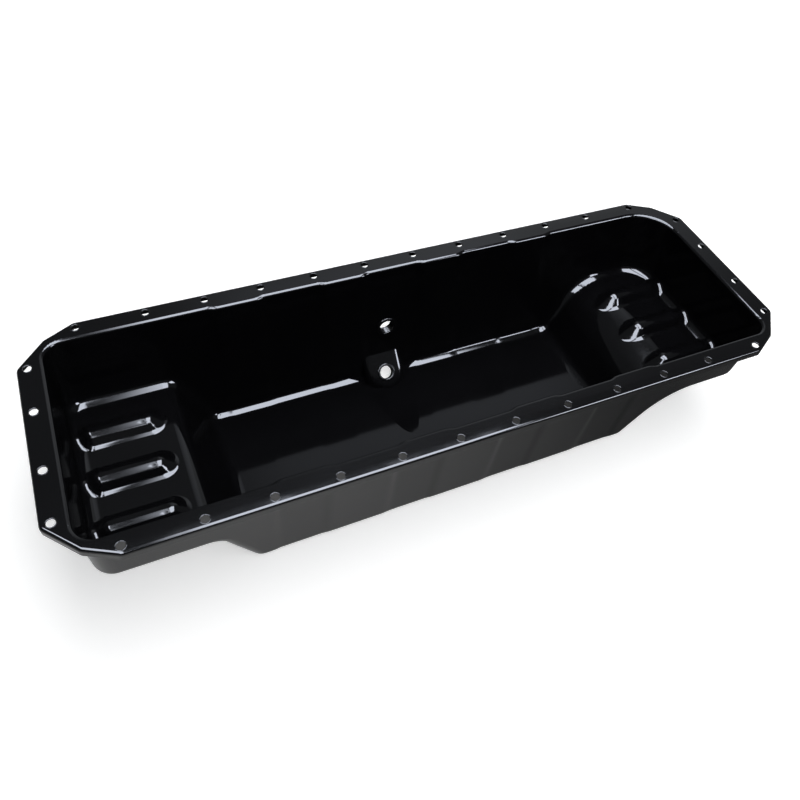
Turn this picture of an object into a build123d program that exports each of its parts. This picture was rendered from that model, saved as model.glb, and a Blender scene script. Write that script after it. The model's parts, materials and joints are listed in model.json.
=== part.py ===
"""Oil pan of an in-line six-cylinder diesel: one drawn steel pressing with two threaded weld bushings.

Frame: the origin is the centre of the flange's bolt pattern on its sealing face, +X runs along the
pan, +Y points to the side that carries the two ports, and +Z points up out of the opening. Sizes are
in millimetres. Those of the pressing are of its inner, upper face, and its walls are given where
they would meet the sealing face if no bend were there.
"""
from build123d import *
import os
from math import cos, radians, sin, tan

# ------------------------------------------------------------------ driving dimensions
sheet = 2.0

# opening and walls
opening_half_length = 416.5
opening_half_width = 128.0
opening_corner = 21.5
wide_corner = 54.5
wide_corner_taper = 0.10
side_draft = 6.0
end_draft = 1.0
mouth_bend = 4.0

# bolt holes: two long rows, one more pair of columns at the corners, and four at each end
hole_diameter = 10.0
hole_pitch = 67.5
row_outside_opening = 16.0
end_outside_opening = 16.5
corner_hole_x_inset = 1.5
corner_hole_y_inset = 2.5
end_inner_y = 37.5

# flange: a long octagon whose corners have a knee, with a turned-down lip
side_margin = 9.5
end_margin = 11.0
corner_length = 63.0
corner_width = 52.5
knee_length = 30.0
knee_width = 17.5
corner_softness = 10.0
lip_depth = 9.5
lip_bend = 3.5

# flutes pressed into the long walls, as stiffening; they fade out towards the floor
flute_width = 58.0
flute_depth = 2.8
flute_run = 14.0
flute_fade = 240.0

# floors: a shallow one at each end and the sump between them
shallow_depth = 98.0
sump_depth = 176.0
left_end_to_sump = 160.7
right_end_to_sump = 161.9
left_slope = 63.5
right_slope = 60.0
left_brow = 18.0
right_brow = 70.0
floor_bend = 14.0
heel_over_floor_bend = 2.0

# beads that stiffen the shallow floors: round at the wall, running out before the sump
bead_height = 12.0
bead_half_width = 17.0
bead_slope = 48.0
bead_crest = 10.0
bead_foot = 7.0
left_bead_off_wall = 5.5
left_tip_before_brow = 7.5
left_tip_slope = 40.0
left_bead_reach = 6.0
right_bead_off_wall = 3.5
right_tip_past_brow = 14.8
right_tip_slope = 44.0
right_bead_reach = 15.0

# drain pad: a flat tongue that cuts the corner between the far wall and the sump floor
pad_x = -14.0
pad_off_wall = 17.9
pad_off_floor = 13.0
pad_tilt = 45.0
pad_round_collar = 14.5
pad_rim = 10.0

# swale in the sump floor that leads to the pad
swale_length = 98.0
swale_half_width = 35.0
swale_depth = 4.0
swale_extra_drop = 0.8
swale_inset = 1.0

# weld bushings
bush_clearance = 0.1
bush_chamfer = 1.0
drain_thread = 18.0
drain_wall = 3.5
drain_shoulder = 2.0
drain_collar_length = 7.0
drain_proud = 1.0
port_x = -8.0
port_above_pad = 66.0
port_thread = 20.0
port_wall = 5.0
port_shoulder = 3.0
port_collar_length = 10.0
port_proud = 1.5

os.makedirs("parts", exist_ok=True)

# ------------------------------------------------------------------ places worked out from them
clear_of_part = 60.0

row_y = opening_half_width + row_outside_opening
end_column_x = opening_half_length + end_outside_opening
flange_half_width = row_y + side_margin
flange_half_length = end_column_x + end_margin
corner_column_x = flange_half_length - corner_length - corner_hole_x_inset
end_outer_y = flange_half_width - corner_width - corner_hole_y_inset
row_count = 2 * round(corner_column_x / hole_pitch - 0.5)

flute_centres = [hole_pitch * step for step in (-3, -1, 1, 3)]

drop = sump_depth - shallow_depth
sump_left_x = left_end_to_sump - opening_half_length
sump_right_x = opening_half_length - right_end_to_sump
sump_heel = floor_bend + heel_over_floor_bend
left_brow_x = sump_left_x - drop / tan(radians(left_slope))
right_brow_x = sump_right_x + drop / tan(radians(right_slope))

bead_rows = (-opening_half_width / 2, 0.0, opening_half_width / 2)
left_bead_span = (
    left_bead_off_wall - opening_half_length,
    left_brow_x - left_brow * tan(radians(left_slope / 2)) - left_tip_before_brow,
)
right_bead_span = (opening_half_length - right_bead_off_wall, right_brow_x + right_tip_past_brow)

pad_depth = sump_depth - pad_off_floor
pad_y = opening_half_width - pad_depth * tan(radians(side_draft)) - pad_off_wall
pad_plane = Plane(
    origin=(pad_x, pad_y, -pad_depth),
    x_dir=(1, 0, 0),
    z_dir=(0, -sin(radians(pad_tilt)), cos(radians(pad_tilt))),
)
port_depth = pad_depth - port_above_pad
port_wall_y = opening_half_width - port_depth * tan(radians(side_draft))
port_plane = Plane(
    origin=(port_x, port_wall_y, -port_depth),
    x_dir=(1, 0, 0),
    z_dir=(0, -cos(radians(side_draft)), sin(radians(side_draft))),
)

drain_spigot = drain_thread + 2 * drain_wall
drain_collar = drain_spigot + 2 * drain_shoulder
pad_half_width = drain_collar / 2 + pad_round_collar
port_spigot = port_thread + 2 * port_wall
port_collar = port_spigot + 2 * port_shoulder


# ------------------------------------------------------------------ the pressed form
def wall_outline(depth, grow):
    """Walls in plan at a depth: fluted long sides, three like corners and one wide one."""
    skin = grow / cos(radians(side_draft))
    half_length = opening_half_length - depth * tan(radians(end_draft)) + skin
    half_width = opening_half_width - depth * tan(radians(side_draft)) + skin
    wide = wide_corner - depth * wide_corner_taper + skin
    like = opening_corner + skin
    step = flute_depth * (1 - depth / flute_fade)
    corners = ((-1, -1, like, 180), (1, -1, like, 270), (1, 1, wide, 0), (-1, 1, like, 90))
    with BuildSketch(Plane.XY.offset(-depth)) as outline:
        with BuildLine():
            for x_side, y_side, radius, start_angle in corners:
                corner_centre = (x_side * (half_length - radius), y_side * (half_width - radius))
                CenterArc(corner_centre, radius, start_angle, 90)
            Line((-half_length, like - half_width), (-half_length, half_width - like))
            Line((half_length, like - half_width), (half_length, half_width - wide))
            for y_side, right_corner in ((-1, like), (1, wide)):
                high, low = y_side * half_width, y_side * (half_width - step)
                x = like - half_length
                for centre in flute_centres:
                    for middle, before, after in (
                        (centre - flute_width / 2, high, low), (centre + flute_width / 2, low, high),
                    ):
                        start = middle - flute_run / 2
                        Line((x, before), (start, before))
                        x = middle + flute_run / 2
                        Bezier((start, before), (middle, before), (middle, after), (x, after))
                Line((x, high), (half_length - right_corner, high))
        make_face()
    return outline.sketch


def side_outline(grow):
    """Floors seen from the side: shallow, down a slope to the sump, and up to shallow again."""
    end_x = opening_half_length + clear_of_part
    with BuildSketch(Plane.XZ) as outline:
        with BuildLine():
            FilletPolyline(
                (-end_x, 0), (-end_x, -shallow_depth), (left_brow_x, -shallow_depth),
                (sump_left_x, -sump_depth), (sump_right_x, -sump_depth),
                (right_brow_x, -shallow_depth), (end_x, -shallow_depth), (end_x, 0),
                radius=[floor_bend, left_brow, sump_heel, sump_heel, right_brow, floor_bend],
            )
            Line((end_x, 0), (-end_x, 0))
        make_face()
        if grow:
            offset(amount=grow)
    return outline.sketch


def bead(span, tip_slope, reach, row, grow):
    """Bar with sloping flanks lying along the pan; its rounded top is the bead's crest."""
    wall_end, tip_end = span
    toward_tip = 1 if tip_end > wall_end else -1
    with BuildPart() as bar:
        for height in (bead_height - grow, -reach):
            half_width = bead_half_width - height / tan(radians(bead_slope)) - grow / sin(radians(bead_slope))
            tip_inset = height / tan(radians(tip_slope)) + grow / sin(radians(tip_slope))
            start = wall_end + toward_tip * (bead_half_width - half_width)
            end = tip_end - toward_tip * tip_inset
            with BuildSketch(Plane.XY.offset(-shallow_depth + height)):
                with Locations(((start + end) / 2, row)):
                    SlotOverall(abs(end - start), 2 * half_width)
        loft(ruled=True)
        fillet(bar.faces().sort_by(Axis.Z)[-1].edges(), radius=bead_crest - grow)
    return bar.part


def drain_tongue(grow):
    """What the drain pad takes from the form: a U-shaped block under the pad's plane."""
    half_width = pad_half_width - grow
    with BuildPart() as tongue:
        with BuildSketch(pad_plane.offset(-grow)):
            Circle(half_width)
            Rectangle(2 * half_width, clear_of_part, align=(Align.CENTER, Align.MIN))
        extrude(amount=-clear_of_part)
        rim = tongue.faces().sort_by(Axis(pad_plane.origin, pad_plane.z_dir))[-1].edges()
        fillet(rim.sort_by(Axis.Y)[:-1], radius=pad_rim - grow)
    return tongue.part


def swale_bar(grow):
    """A long round bar, sunk in the floor at a slight angle, whose underside is the swale."""
    radius = (swale_half_width**2 + swale_depth**2) / (2 * swale_depth)
    fall = swale_depth / swale_length
    tip_y = pad_y - swale_length
    tip = Plane(origin=(pad_x, tip_y, -sump_depth + radius), x_dir=(1, 0, 0), z_dir=(0, 1, -fall))
    # the bar starts before the tip and ends past the wall
    with BuildPart() as bar:
        with BuildSketch(tip.offset(-clear_of_part / 2)):
            Circle(radius + grow)
        extrude(amount=swale_length + clear_of_part)
    return bar.part


def pressed_form(grow):
    """Solid that the pressing's inner face bounds (grow 0), or its outer face (grow = sheet)."""
    left_bars = [bead(left_bead_span, left_tip_slope, left_bead_reach, row, grow) for row in bead_rows]
    right_bars = [bead(right_bead_span, right_tip_slope, right_bead_reach, row, grow) for row in bead_rows]
    swale = swale_bar(grow)
    tongue = drain_tongue(grow)
    with BuildPart() as form:
        add([wall_outline(0, grow), wall_outline(sump_depth + clear_of_part, grow)])
        loft(ruled=True)
        with BuildSketch(Plane.XZ):
            add(side_outline(grow))
        extrude(amount=opening_half_width + clear_of_part, both=True, mode=Mode.INTERSECT)

        # the bend between floors and walls runs all the way round
        floors = form.faces().filter_by(lambda face: face.normal_at().Z < -0.3)
        floor_edges = floors.edges()
        rim = [edge for edge in form.edges() if sum(edge.is_same(other) for other in floor_edges) == 1]
        fillet(rim, radius=floor_bend + grow)

        # each bead gets a rounded foot
        for bar in left_bars + right_bars:
            add(bar, mode=Mode.SUBTRACT)
            fillet(form.edges(Select.NEW), radius=bead_foot + grow)

        # the swale is where the bar lies inside the same form, set deeper and a little off the far wall
        deeper = form.part.moved(Location((0, -swale_inset, -swale_depth - swale_extra_drop)))
        add(deeper.intersect(swale))

        add(tongue, mode=Mode.SUBTRACT)
    return form.part


# ------------------------------------------------------------------ flange
def flange_block(inset):
    """Flange with its rounded upper edge as a solid block, or the space under the sheet of it."""
    corner = [
        (flange_half_length, flange_half_width - corner_width),
        (flange_half_length - knee_length, flange_half_width - knee_width),
        (flange_half_length - corner_length, flange_half_width),
    ]
    right_end = [(x, -y) for x, y in reversed(corner)] + corner
    left_end = [(-x, -y) for x, y in right_end]
    with BuildPart() as block:
        with BuildSketch(Plane.XY.offset(-inset)):
            with BuildLine():
                FilletPolyline(*right_end, *left_end, radius=corner_softness, close=True)
            make_face()
            if inset:
                offset(amount=-inset)
        extrude(amount=-lip_depth)
        fillet(block.faces().sort_by(Axis.Z)[-1].edges(), radius=lip_bend - inset)
    return block.part


# ------------------------------------------------------------------ pan_shell
# One drawn sheet: flange, lip, walls, floors, beads, swale and drain pad.
inner_form = pressed_form(0)
outer_form = pressed_form(sheet)
flange = flange_block(0)
under_flange = flange_block(sheet)

with BuildPart() as pan_shell:
    add(flange)
    add(under_flange, mode=Mode.SUBTRACT)
    add(outer_form)
    underside = [edge for edge in pan_shell.edges(Select.NEW) if abs(edge.center().Z + sheet) < 0.01]
    fillet(underside, radius=mouth_bend - sheet)
    add(inner_form, mode=Mode.SUBTRACT)
    sealing_face = pan_shell.faces().filter_by(Plane.XY).sort_by(Axis.Z)[-1]
    fillet(sealing_face.inner_wires()[0].edges(), radius=mouth_bend)

    # bolt holes
    with GridLocations(hole_pitch, 2 * row_y, row_count, 2):
        Hole(hole_diameter / 2, depth=lip_depth)
    with GridLocations(2 * corner_column_x, 2 * row_y, 2, 2):
        Hole(hole_diameter / 2, depth=lip_depth)
    for end_y in (end_inner_y, end_outer_y):
        with GridLocations(2 * end_column_x, 2 * end_y, 2, 2):
            Hole(hole_diameter / 2, depth=lip_depth)

    # holes for the two bushings
    with Locations(pad_plane.offset(drain_collar)):
        Hole(drain_spigot / 2 + bush_clearance, depth=2 * drain_collar)
    with Locations(port_plane.offset(port_collar)):
        Hole(port_spigot / 2 + bush_clearance, depth=2 * port_collar)

# ------------------------------------------------------------------ drain_bush
# Turned steel bushing welded under the drain pad; its spigot fills the hole in the pad.
with BuildPart() as drain_bush:
    with BuildSketch(pad_plane.offset(-sheet)):
        Circle(drain_collar / 2)
    extrude(amount=-drain_collar_length)
    with BuildSketch(pad_plane.offset(-sheet)):
        Circle(drain_spigot / 2)
    extrude(amount=sheet + drain_proud)
    with Locations(pad_plane.offset(drain_proud)):
        Hole(drain_thread / 2, depth=drain_proud + sheet + drain_collar_length)
    mouths = drain_bush.faces().filter_by(GeomType.PLANE).sort_by(Axis(pad_plane.origin, pad_plane.z_dir))
    chamfer(mouths[0].edges() + mouths[-1].edges(), length=bush_chamfer)

# ------------------------------------------------------------------ port_bush
# The same kind of bushing, welded to the outside of the far wall.
with BuildPart() as port_bush:
    with BuildSketch(port_plane.offset(-sheet)):
        Circle(port_collar / 2)
    extrude(amount=-port_collar_length)
    with BuildSketch(port_plane.offset(-sheet)):
        Circle(port_spigot / 2)
    extrude(amount=sheet + port_proud)
    with Locations(port_plane.offset(port_proud)):
        Hole(port_thread / 2, depth=port_proud + sheet + port_collar_length)
    mouths = port_bush.faces().filter_by(GeomType.PLANE).sort_by(Axis(port_plane.origin, port_plane.z_dir))
    chamfer(mouths[0].edges() + mouths[-1].edges(), length=bush_chamfer)

# ------------------------------------------------------------------ write the pieces
pan_shell.part.label = "pan_shell"
drain_bush.part.label = "drain_bush"
port_bush.part.label = "port_bush"
export_step(pan_shell.part, "parts/pan_shell.step")
export_step(drain_bush.part, "parts/drain_bush.step")
export_step(port_bush.part, "parts/port_bush.step")
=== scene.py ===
"""Looks of a pressed-steel engine oil pan in gloss black electrocoat, standing on a white table."""
import json
from math import cos, pi, radians, sin

import bpy
from mathutils import Matrix, Vector


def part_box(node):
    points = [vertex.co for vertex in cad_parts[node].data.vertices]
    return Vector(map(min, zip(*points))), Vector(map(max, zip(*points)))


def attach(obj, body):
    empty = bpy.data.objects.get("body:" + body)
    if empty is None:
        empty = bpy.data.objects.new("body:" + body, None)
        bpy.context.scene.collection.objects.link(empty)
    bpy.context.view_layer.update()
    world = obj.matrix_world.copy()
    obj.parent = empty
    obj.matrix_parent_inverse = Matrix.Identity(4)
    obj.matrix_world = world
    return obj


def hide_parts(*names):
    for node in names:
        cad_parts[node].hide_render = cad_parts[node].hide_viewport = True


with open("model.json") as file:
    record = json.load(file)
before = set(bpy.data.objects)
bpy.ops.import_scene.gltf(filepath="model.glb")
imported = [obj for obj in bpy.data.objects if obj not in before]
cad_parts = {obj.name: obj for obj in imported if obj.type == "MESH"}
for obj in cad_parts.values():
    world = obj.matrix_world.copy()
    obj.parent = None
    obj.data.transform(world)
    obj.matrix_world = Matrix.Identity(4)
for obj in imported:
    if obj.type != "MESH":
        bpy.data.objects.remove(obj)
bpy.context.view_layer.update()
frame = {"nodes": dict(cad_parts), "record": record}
pan_low, pan_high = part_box("pan_shell")


# ---------------------------------------------------------------- pressed shell
# One sheet of deep-drawing steel, pressed, pierced and trimmed, then dipped in black electrocoat.
# The cured film is glossy over a fine orange peel, and the sheet under it keeps the slow waves
# and the faint upright draw marks of the press.
class Film:
    """A socket in a finish's node tree. Arithmetic on it adds Math nodes."""

    def __init__(self, tree, socket=None):
        self.tree = tree
        self.socket = socket

    def node(self, kind, settings, inputs, output=0):
        """Add a node, set it up, feed its inputs with values or other sockets, and hand back an output."""
        made = self.tree.nodes.new(kind)
        for name, value in settings.items():
            setattr(made, name, value)
        for name, value in inputs.items():
            if isinstance(value, Film):
                self.tree.links.new(value.socket, made.inputs[name])
            else:
                made.inputs[name].default_value = value
        return Film(self.tree, made.outputs[output] if made.outputs else None)

    def math(self, operation, first, second):
        return self.node("ShaderNodeMath", {"operation": operation}, {0: first, 1: second})

    def __add__(self, other):
        return self.math("ADD", self, other)

    def __radd__(self, other):
        return self.math("ADD", other, self)

    def __sub__(self, other):
        return self.math("SUBTRACT", self, other)

    def __rsub__(self, other):
        return self.math("SUBTRACT", other, self)

    def __mul__(self, other):
        return self.math("MULTIPLY", self, other)

    def __lt__(self, other):
        return self.math("LESS_THAN", self, other)

    def rise(self, start, end):
        """0 before start, 1 past end, and an S-shaped rise between them."""
        settings = {"interpolation_type": "SMOOTHSTEP"}
        return self.node("ShaderNodeMapRange", settings, {"Value": self, "From Min": start, "From Max": end})


def cloud(film, place, scale, detail=2.0, stretch=(1, 1, 1)):
    """Smooth noise from 0 to 1. Scale is in cells for each metre, and stretch slows it along an axis."""
    spread = film.node("ShaderNodeMapping", {}, {"Vector": place, "Scale": stretch})
    settings = {"noise_dimensions": "3D"}
    return film.node("ShaderNodeTexNoise", settings, {"Vector": spread, "Scale": scale, "Detail": detail})


# the film's unevenness, in cells for each metre: patches of gloss, upright marks, peel and sheet
blotch_scale = 14.0
mark_scale = 260.0
mark_stretch = (1, 1, 0.05)
peel_scale = 700.0
wave_scale = 9.0
# how much the patches and marks dull the gloss, lighten the black and stand out of the peel
blotch_dulls = 0.03
marks_dull = 0.02
blotch_lightens = 1.6
marks_in_peel = 0.3
coat_ior = 1.5
# in the shading only, the flange's long edges hang a little and unevenly, from here to past the lip
droop_start = 0.141
droop_end = pan_high.y + 0.002
droop_scale = 22.0


def electrocoat(name, black, gloss, orange_peel, sheet_wave, edge_droop):
    """A near-black film over the metal's own waves and draw marks. The last three are heights."""
    material = bpy.data.materials.new(name)
    material.use_nodes = True
    tree = material.node_tree
    tree.nodes.clear()
    film = Film(tree)
    place = film.node("ShaderNodeTexCoord", {}, {}, "Object")

    blotch = cloud(film, place, blotch_scale)
    draw_marks = cloud(film, place, mark_scale, stretch=mark_stretch)
    peel = cloud(film, place, peel_scale, detail=1.0)
    wave = cloud(film, place, wave_scale, detail=1.0)

    side = film.node("ShaderNodeSeparateXYZ", {}, {0: place}, "Y")
    off_side = film.math("ABSOLUTE", side, 0.0)
    droop = off_side.rise(droop_start, droop_end) * cloud(film, place, droop_scale)

    relief = (
        peel * orange_peel + wave * sheet_wave
        + draw_marks * (orange_peel * marks_in_peel) - droop * edge_droop
    )
    bump = film.node("ShaderNodeBump", {}, {"Height": relief, "Strength": 1.0, "Distance": 1.0})

    light_black = tuple(c * blotch_lightens for c in black)
    colour = film.node(
        "ShaderNodeMix", {"data_type": "RGBA"}, {0: blotch, 6: (*black, 1), 7: (*light_black, 1)}, 2
    )
    shader = film.node(
        "ShaderNodeBsdfPrincipled", {},
        {
            "Base Color": colour,
            "Roughness": gloss + blotch * blotch_dulls + draw_marks * marks_dull,
            "IOR": coat_ior,
            "Normal": bump,
        },
    )
    film.node("ShaderNodeOutputMaterial", {}, {"Surface": shader})
    return material


pan_coat = electrocoat(
    "pan_electrocoat", black=(0.0022, 0.0022, 0.0027), gloss=0.05,
    orange_peel=0.0000012, sheet_wave=0.00022, edge_droop=0.0003,
)
pan = frame["nodes"]["pan_shell"]
pan.data.materials[0] = pan_coat

# ---------------------------------------------------------------- pierced edges
# The film gathers on the pierced edge of each bolt hole, so every hole has a fine rounded rim that
# stands a little over the flange. The rims are one ring, repeated on the record's hole centres.
rim_radius = 0.0007
rim_sink = 0.0005
ring_steps = 48
section_steps = 12
patterns = [mount for mount in frame["record"]["mounts"] if mount["kind"] == "bolt_pattern"]
hole_radius = patterns[0]["dims"]["hole_r_mm"] / 1000
hole_centres = []
for pattern in patterns:
    middle_x, middle_y, middle_z = pattern["pos_m"]
    reach_x = pattern["dims"]["spacing_x_mm"] / 2000
    reach_y = pattern["dims"]["spacing_y_mm"] / 2000
    for side_x in (-reach_x, reach_x):
        for side_y in (-reach_y, reach_y):
            hole_centres.append((middle_x + side_x, middle_y + side_y, middle_z - rim_sink))

rim_tree = bpy.data.node_groups.new("rims_on_holes", "GeometryNodeTree")
for socket_name, direction, kind in (
    ("Centres", "INPUT", "NodeSocketGeometry"), ("Hole radius", "INPUT", "NodeSocketFloat"),
    ("Rim radius", "INPUT", "NodeSocketFloat"), ("Rims", "OUTPUT", "NodeSocketGeometry"),
):
    rim_tree.interface.new_socket(name=socket_name, in_out=direction, socket_type=kind)
rims = Film(rim_tree)
centres = rims.node("NodeGroupInput", {}, {}, "Centres")
hole_size = rims.node("NodeGroupInput", {}, {}, "Hole radius")
rim_size = rims.node("NodeGroupInput", {}, {}, "Rim radius")
path = rims.node(
    "GeometryNodeCurvePrimitiveCircle", {}, {"Resolution": ring_steps, "Radius": hole_size}, "Curve"
)
section = rims.node(
    "GeometryNodeCurvePrimitiveCircle", {}, {"Resolution": section_steps, "Radius": rim_size}, "Curve"
)
ring = rims.node("GeometryNodeCurveToMesh", {}, {"Curve": path, "Profile Curve": section}, "Mesh")
soft_ring = rims.node("GeometryNodeSetShadeSmooth", {}, {"Geometry": ring}, "Geometry")
placed = rims.node(
    "GeometryNodeInstanceOnPoints", {}, {"Points": centres, "Instance": soft_ring}, "Instances"
)
real = rims.node("GeometryNodeRealizeInstances", {}, {"Geometry": placed}, "Geometry")
coated = rims.node("GeometryNodeSetMaterial", {}, {"Geometry": real, "Material": pan_coat}, "Geometry")
rims.node("NodeGroupOutput", {}, {"Rims": coated})

centres_mesh = bpy.data.meshes.new("hole_centres")
centres_mesh.from_pydata(hole_centres, [], [])
pierced_edges = bpy.data.objects.new("pierced_edges", centres_mesh)
bpy.context.scene.collection.objects.link(pierced_edges)
repeat = pierced_edges.modifiers.new("rims", "NODES")
repeat.node_group = rim_tree
rim_values = {"Hole radius": hole_radius, "Rim radius": rim_radius}
for socket in rim_tree.interface.items_tree:
    if socket.name in rim_values:
        repeat[socket.identifier] = rim_values[socket.name]
evaluated = pierced_edges.evaluated_get(bpy.context.evaluated_depsgraph_get())
rims_mesh = bpy.data.meshes.new_from_object(evaluated)
pierced_edges.modifiers.clear()
pierced_edges.data = rims_mesh
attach(pierced_edges, "root")

# ---------------------------------------------------------------- weld bushings
# Two turned steel bushings, projection-welded before the dip, so they wear a black film too.
# Each has a collar outside the sheet, a spigot through it with a rounded end, and a cut thread.
bush_coat = electrocoat(
    "bush_electrocoat", black=(0.003, 0.003, 0.0035), gloss=0.10,
    orange_peel=0.0000008, sheet_wave=0.0, edge_droop=0.0,
)
bush_edge = 0.001
bush_crease = radians(30)
thread_pitch = 0.0015
thread_depth = 0.0008
edge_steps = 6
steps_round = 96
steps_each_pitch = 8
bush_mounts = {mount["name"]: mount for mount in frame["record"]["mounts"]}


def threaded_bush(node_name, mount_name, wall, shoulder, collar_length):
    """A turned bushing on a threaded mount's axis, with a real helical groove in its bore."""
    mount = bush_mounts[mount_name]
    bore = mount["dims"]["r_mm"] / 1000
    half = mount["dims"]["length_mm"] / 2000 + bush_edge
    spigot = bore + wall
    collar = spigot + shoulder
    seat = collar_length - half
    outside = [(collar - bush_edge, -half), (collar, bush_edge - half), (collar, seat), (spigot, seat)]
    quarter = [pi / 2 * step / edge_steps for step in range(edge_steps + 1)]
    for turn in quarter:
        outside.append((spigot - bush_edge * (1 - cos(turn)), half - bush_edge * (1 - sin(turn))))
    for turn in quarter[:-1]:
        outside.append((bore + bush_edge * (1 - sin(turn)), half - bush_edge * (1 - cos(turn))))

    threaded = 2 * (half - bush_edge)
    thread_steps = round(threaded / thread_pitch * steps_each_pitch)
    rings = [[(radius, height)] * steps_round for radius, height in outside]
    for step in range(thread_steps + 1):
        height = half - bush_edge - threaded * step / thread_steps
        run_out = min(1, step / steps_each_pitch, (thread_steps - step) / steps_each_pitch)
        ring = []
        for turn in range(steps_round):
            phase = (height / thread_pitch - turn / steps_round) % 1
            ring.append((bore + thread_depth * run_out * (1 - abs(2 * phase - 1)), height))
        rings.append(ring)
    rings.append([(bore + bush_edge, -half)] * steps_round)

    corners = []
    for ring in rings:
        for turn, (radius, height) in enumerate(ring):
            angle = 2 * pi * turn / steps_round
            corners.append((radius * cos(angle), radius * sin(angle), height))
    faces = []
    for row in range(len(rings)):
        above = (row + 1) % len(rings)
        for turn in range(steps_round):
            beside = (turn + 1) % steps_round
            faces.append((
                row * steps_round + turn, row * steps_round + beside,
                above * steps_round + beside, above * steps_round + turn,
            ))
    mesh = bpy.data.meshes.new(f"{node_name}_turned")
    mesh.from_pydata(corners, [], faces)
    inward = -Vector(mount["axis"])
    turned_in = inward.to_track_quat("Z", "Y").to_matrix().to_4x4()
    mesh.transform(Matrix.Translation(mount["pos_m"]) @ turned_in)
    mesh.shade_smooth()
    mesh.set_sharp_from_angle(angle=bush_crease)
    mesh.materials.append(bush_coat)
    bush = bpy.data.objects.new(f"{node_name}_turned", mesh)
    bpy.context.scene.collection.objects.link(bush)
    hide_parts(node_name)
    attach(bush, "root")


threaded_bush("drain_bush", "drain", wall=0.0035, shoulder=0.002, collar_length=0.007)
threaded_bush("port_bush", "side_port", wall=0.005, shoulder=0.003, collar_length=0.010)

# ---------------------------------------------------------------- table
# A seamless white table top. It takes the pan's soft shadow, a glow that only the camera sees
# whitens it with distance, and a painted shade that only the gloss sees darkens it, glow and all, towards
# the pan's right end.
table_half = 6.0
table_white = (0.80, 0.80, 0.80, 1)
# painted shade: the colour the table takes in the gloss towards the pan's right end
painted_table_shade = (0.15, 0.15, 0.15, 1)
glow_seen = 0.56
glow_far_off = 0.50
far_from, far_to = 0.9, 2.5
glow_mirrored = 0.15
# where along the pan that painted shade in the gloss begins and where it is full
painted_shade_from, painted_shade_to = -0.30, 0.40
table_mesh = bpy.data.meshes.new("table_top")
table_mesh.from_pydata(
    [(-table_half, -table_half, 0), (table_half, -table_half, 0),
     (table_half, table_half, 0), (-table_half, table_half, 0)],
    [], [(0, 1, 2, 3)],
)
table_mesh.transform(Matrix.Translation((0, 0, pan_low.z)))
table_top = bpy.data.objects.new("table_top", table_mesh)
bpy.context.scene.collection.objects.link(table_top)
table_paper = bpy.data.materials.new("table_paper")
table_paper.use_nodes = True
table_paper.node_tree.nodes.clear()
paper = Film(table_paper.node_tree)
seen = paper.node("ShaderNodeLightPath", {}, {}, "Is Camera Ray")
mirrored = (
    paper.node("ShaderNodeLightPath", {}, {}, "Is Glossy Ray")
    + paper.node("ShaderNodeLightPath", {}, {}, "Is Transmission Ray")
)
table_place = paper.node("ShaderNodeTexCoord", {}, {}, "Object")
along_pan = paper.node("ShaderNodeSeparateXYZ", {}, {0: table_place}, "X")
# painted shade, seen only in the gloss: the table's colour and its glow darken towards the pan's right end
painted_gloss_shade = mirrored * along_pan.rise(painted_shade_from, painted_shade_to)
shade = paper.node(
    "ShaderNodeMix", {"data_type": "RGBA"}, {0: painted_gloss_shade, 6: table_white, 7: painted_table_shade}, 2
)
matt = paper.node("ShaderNodeBsdfDiffuse", {}, {"Color": shade})
distance = paper.node("ShaderNodeVectorMath", {"operation": "LENGTH"}, {0: table_place}, "Value")
fill = glow_seen + distance.rise(far_from, far_to) * glow_far_off
strength = seen * fill + mirrored * (1 - painted_gloss_shade) * glow_mirrored
glow = paper.node("ShaderNodeEmission", {}, {"Color": (1, 1, 1, 1), "Strength": strength})
both = paper.node("ShaderNodeAddShader", {}, {0: matt, 1: glow})
paper.node("ShaderNodeOutputMaterial", {}, {"Surface": both})
table_mesh.materials.append(table_paper)

# ---------------------------------------------------------------- light
# A very large overhead softbox gives the even light, and soft-edged panels just under it are what
# the gloss mirrors: one over the pan, one to its left, its spill to the rear, and a low one in front.
# The panels add no light to the matt surfaces, and mirrors of mirrors don't see them.
light_height = 3.0
daylight = (0.83, 0.88, 1.0)
neutral = (1.0, 1.0, 1.0)
deepest_mirror = 2.5


def panel(name, centre, width, depth, radiance, fades, turn=None):
    """A rectangular lamp; fades are the soft left, right, near and far widths in the gloss, or None."""
    data = bpy.data.lights.new(name, "AREA")
    data.shape = "RECTANGLE"
    data.size = width
    data.size_y = depth
    data.energy = radiance * pi * width * depth
    data.color = neutral if fades is None else daylight
    lamp = bpy.data.objects.new(name, data)
    lamp.matrix_world = Matrix.Translation(centre) @ (turn or Matrix.Identity(4))
    lamp.visible_camera = False
    bpy.context.scene.collection.objects.link(lamp)
    if fades is None:
        lamp.visible_glossy = False
        return
    lamp.visible_diffuse = False
    data.use_nodes = True
    data.node_tree.nodes.clear()
    beam = Film(data.node_tree)
    spot = beam.node("ShaderNodeNewGeometry", {}, {}, "Parametric")
    across = beam.node("ShaderNodeSeparateXYZ", {}, {0: spot}, "X") * width
    along = beam.node("ShaderNodeSeparateXYZ", {}, {0: spot}, "Y") * depth
    first_mirror = beam.node("ShaderNodeLightPath", {}, {}, "Ray Depth") < deepest_mirror
    left, right, near, far = fades
    strength = (
        across.rise(0, left) * (1 - across.rise(width - right, width))
        * along.rise(0, near) * (1 - along.rise(depth - far, depth)) * first_mirror
    )
    shine = beam.node("ShaderNodeEmission", {}, {"Color": (1, 1, 1, 1), "Strength": strength})
    beam.node("ShaderNodeOutputLight", {}, {"Surface": shine})


def overhead(name, left, right, near, far, drop, radiance, fades):
    """A panel that hangs level over the table."""
    centre = ((left + right) / 2, (near + far) / 2, light_height - drop)
    panel(name, centre, right - left, far - near, radiance, fades)


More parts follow.
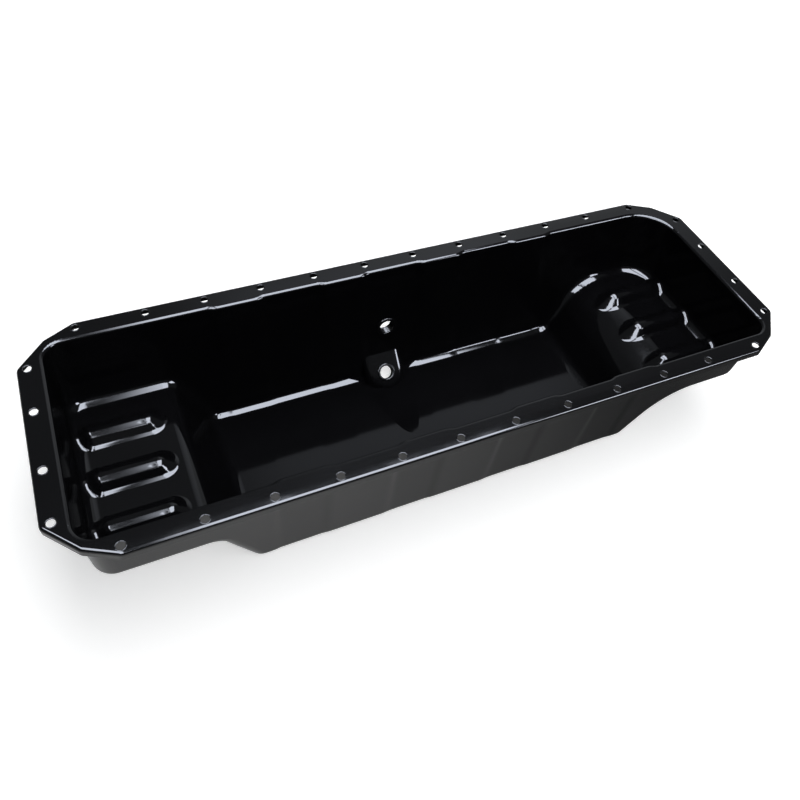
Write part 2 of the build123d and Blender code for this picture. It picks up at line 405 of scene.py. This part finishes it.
overhead("even_light", left=-0.46, right=1.45, near=-2.9, far=1.55, drop=0.0, radiance=4.0, fades=None)
overhead(
    "mirror_main", left=-0.58, right=1.55, near=-2.9, far=1.45,
    drop=0.03, radiance=15.5, fades=(0.40, 0.20, 0.05, 0.14),
)
overhead(
    "mirror_left", left=-2.20, right=-0.68, near=-2.9, far=1.45,
    drop=0.03, radiance=15.5, fades=(0.05, 0.03, 0.05, 0.14),
)
overhead(
    "mirror_spill", left=-0.30, right=2.80, near=1.55, far=4.60,
    drop=0.06, radiance=0.25, fades=(0.80, 0.80, 0.40, 1.80),
)
standing = Matrix.Rotation(radians(90), 4, "X")
panel(
    "mirror_low", centre=(1.95, -2.3, 1.5), width=1.3, depth=1.4,
    radiance=18.0, fades=(0.05, 0.05, 0.05, 0.05), turn=standing,
)

# the room is dim all round in the gloss but for its right rear corner, and white to the camera
room_tint = (0.9, 0.95, 1.0, 1)
room_level = 0.12
corner_level = 0.5
right_from, right_to = -0.1, 0.6
rear_from, rear_to = 0.38, 0.7
world = bpy.data.worlds.new("studio")
bpy.context.scene.world = world
world.use_nodes = True
world.node_tree.nodes.clear()
room = Film(world.node_tree)
direction = room.node("ShaderNodeTexCoord", {}, {}, "Generated")
to_right = room.node("ShaderNodeSeparateXYZ", {}, {0: direction}, "X")
to_rear = room.node("ShaderNodeSeparateXYZ", {}, {0: direction}, "Y")
corner = to_right.rise(right_from, right_to) * to_rear.rise(rear_from, rear_to)
room_light = room_level + corner * corner_level
dim_room = room.node("ShaderNodeBackground", {}, {"Color": room_tint, "Strength": room_light})
white_wall = room.node("ShaderNodeBackground", {}, {"Color": (1, 1, 1, 1), "Strength": 1.0})
camera_ray = room.node("ShaderNodeLightPath", {}, {}, "Is Camera Ray")
backdrop = room.node("ShaderNodeMixShader", {}, {0: camera_ray, 1: dim_room, 2: white_wall})
room.node("ShaderNodeOutputWorld", {}, {"Surface": backdrop})

# ---------------------------------------------------------------- camera
# Held above the pan's near left corner, looking down along it to the far right one. The lens is
# shifted; its focal length and its axis are in pixels of a square frame.
frame_side = 800
focal_length = 762.12
axis_across, axis_down = 440.60, 365.93
camera_place = Vector((-0.31803, -0.53651, 0.65662))
camera_right = Vector((0.903253, -0.414909, 0.109473))
camera_down = Vector((-0.249525, -0.715410, -0.652630))
camera_forward = Vector((0.349100, 0.562174, -0.749726))
camera_data = bpy.data.cameras.new("camera")
camera_data.sensor_width = 36.0
camera_data.lens = focal_length / frame_side * camera_data.sensor_width
camera_data.shift_x = -(axis_across - frame_side / 2) / frame_side
camera_data.shift_y = (axis_down - frame_side / 2) / frame_side
camera_data.clip_end = 50.0
camera = bpy.data.objects.new("camera", camera_data)
camera_turn = Matrix((camera_right, -camera_down, -camera_forward)).transposed()
camera.matrix_world = Matrix.Translation(camera_place) @ camera_turn.to_4x4()
bpy.context.scene.collection.objects.link(camera)
bpy.context.scene.camera = camera

bpy.context.scene.view_settings.view_transform = "Standard"
